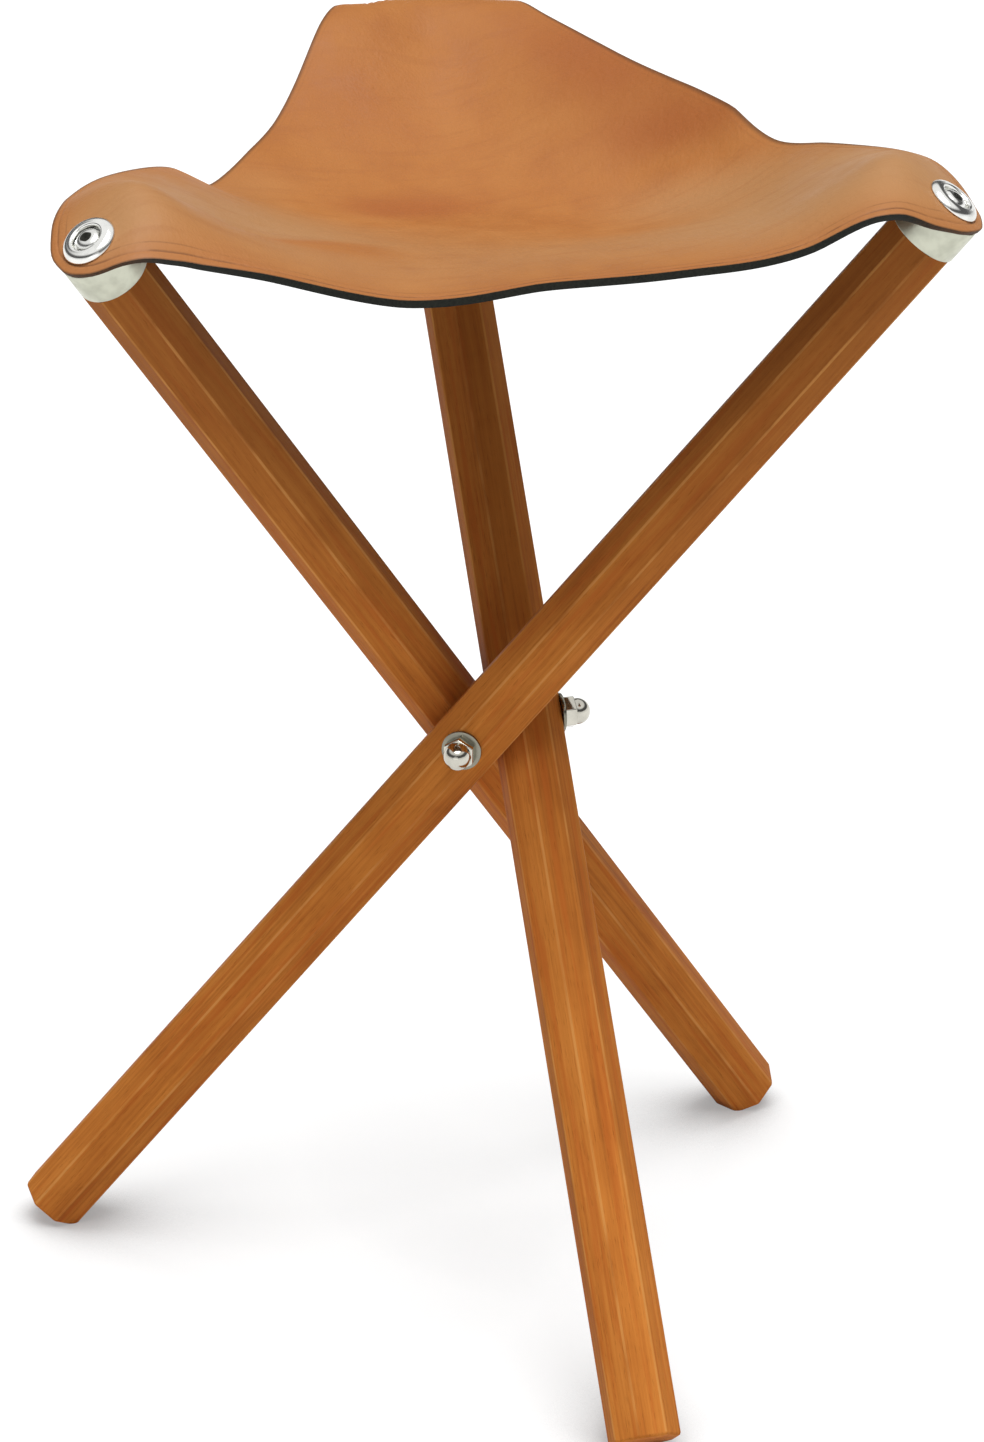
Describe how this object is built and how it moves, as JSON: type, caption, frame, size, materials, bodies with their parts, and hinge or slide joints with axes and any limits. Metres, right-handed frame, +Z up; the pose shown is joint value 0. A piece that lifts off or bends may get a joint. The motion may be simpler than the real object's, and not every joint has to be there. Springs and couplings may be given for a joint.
{
  "type": "folding stool",
  "caption": "Folding tripod stool: octagonal wooden legs cross and swing on a swivel bolt, and a slung leather seat is screwed to their upper ends.",
  "frame": {"origin": "on the floor, below the middle of the open stool's bounding box", "axes": "+Z up from the floor; the rear leg's seat corner points to +Y and the front edge of the seat faces -Y; +X to the right"},
  "size_m": [0.3844, 0.4312, 0.548],
  "materials": {
    "wood": "satin oiled hardwood with lengthwise grain",
    "leather": "matt tan saddle leather with dark cut edges",
    "ferrule_metal": "satin",
    "bright_metal": "bright plated",
    "bolt_steel": "plain"
  },
  "bodies": {
    "hub": {"three_way_bolt": "bolt_steel", "seat": "leather", "left_bolt_washer": "bright_metal", "left_cap_nut": "bright_metal", "right_bolt_washer": "bright_metal", "right_cap_nut": "bright_metal", "rear_bolt_washer": "bright_metal", "rear_cap_nut": "bright_metal"},
    "left_leg": {"left_leg": "wood", "left_ferrule": "ferrule_metal", "left_cup_washer": "bright_metal", "left_seat_screw": "bright_metal"},
    "right_leg": {"right_leg": "wood", "right_ferrule": "ferrule_metal", "right_cup_washer": "bright_metal", "right_seat_screw": "bright_metal"},
    "rear_leg": {"rear_leg": "wood", "rear_ferrule": "ferrule_metal", "rear_cup_washer": "bright_metal", "rear_seat_screw": "bright_metal"}
  },
  "joints": [
    {"name": "left_fold", "type": "hinge", "parent": "hub", "child": "left_leg", "pos_m": [0.01, -0.00276, 0.2657], "axis": [-0.5, 0.866, 0], "range_deg": [0, 38], "deforming": ["seat"]},
    {"name": "right_fold", "type": "hinge", "parent": "hub", "child": "right_leg", "pos_m": [0.01, -0.00276, 0.2657], "axis": [-0.5, -0.866, 0], "range_deg": [0, 38]},
    {"name": "rear_fold", "type": "hinge", "parent": "hub", "child": "rear_leg", "pos_m": [0.01, -0.00276, 0.2657], "axis": [1, 0, 0], "range_deg": [0, 38]}
  ],
  "couplings": [
    {"joint": "right_fold", "follows": "left_fold", "ratio": 1},
    {"joint": "rear_fold", "follows": "left_fold", "ratio": 1}
  ]
}
